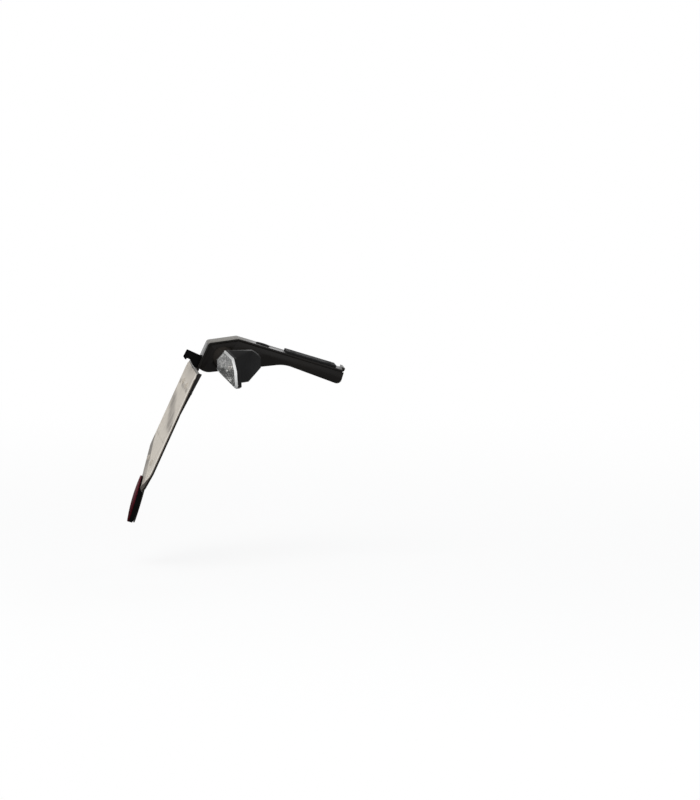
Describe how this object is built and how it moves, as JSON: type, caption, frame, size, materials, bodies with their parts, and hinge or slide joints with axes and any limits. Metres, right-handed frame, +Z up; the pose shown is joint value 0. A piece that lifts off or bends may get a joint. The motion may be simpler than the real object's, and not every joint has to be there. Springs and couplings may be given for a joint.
{
  "type": "tail tidy",
  "caption": "Folded sheet metal rear bracket of a motorcycle, with side cheeks, turn signals on rubber stems, lamp bar, blank number plate with a bent corner, and round red reflector",
  "frame": {"origin": "the centre of the mounting face, on top of the rubber pad that meets the tail", "axes": "+X forward on the motorcycle, +Y to the rider's left, +Z up; the mounting face slopes down towards the front by 17.2 degrees"},
  "size_m": [0.2996, 0.1774, 0.2543],
  "materials": {
    "black_coat": "satin black powder coat",
    "pad_rubber": "matt black rubber",
    "zinc": "bright zinc",
    "plate_white": "worn pale reflective film, blank",
    "lamp_black": "satin black moulding",
    "lamp_clear": "clear moulding",
    "board": "green circuit board",
    "led": "clear over pale yellow",
    "reflector_red": "deep red prismatic moulding",
    "signal_black": "gloss black moulding",
    "stem_rubber": "brownish black rubber",
    "chrome": "bright metallised plastic",
    "amber": "amber glass",
    "signal_clear": "clear moulding, slightly hazed",
    "socket_black": "black moulding"
  },
  "bodies": {
    "root": {"main_bracket": "black_coat", "mount_pad": "pad_rubber", "wire_grommet": "pad_rubber", "cheek_left": "black_coat", "cheek_right": "black_coat", "weld_beads": "black_coat", "holder_spacers": "zinc", "plate_holder": "black_coat", "holder_bolts": "zinc", "holder_nuts": "zinc", "number_plate": "plate_white", "plate_screws": "zinc", "plate_nuts": "zinc", "lamp_housing": "lamp_black", "lamp_lens": "lamp_clear", "lamp_board": "board", "lamp_leds": "led", "lamp_screws": "zinc", "reflector_cup": "lamp_black", "reflector_lens": "reflector_red", "reflector_tape": "pad_rubber", "signal_stem_left": "stem_rubber", "signal_stem_right": "stem_rubber", "signal_nuts": "zinc", "signal_housing_left": "signal_black", "signal_housing_right": "signal_black", "signal_bowl_left": "chrome", "signal_bowl_right": "chrome", "signal_socket_left": "socket_black", "signal_socket_right": "socket_black", "signal_bulb_left": "amber", "signal_bulb_right": "amber", "signal_lens_left": "signal_clear", "signal_lens_right": "signal_clear"}
  },
  "joints": []
}
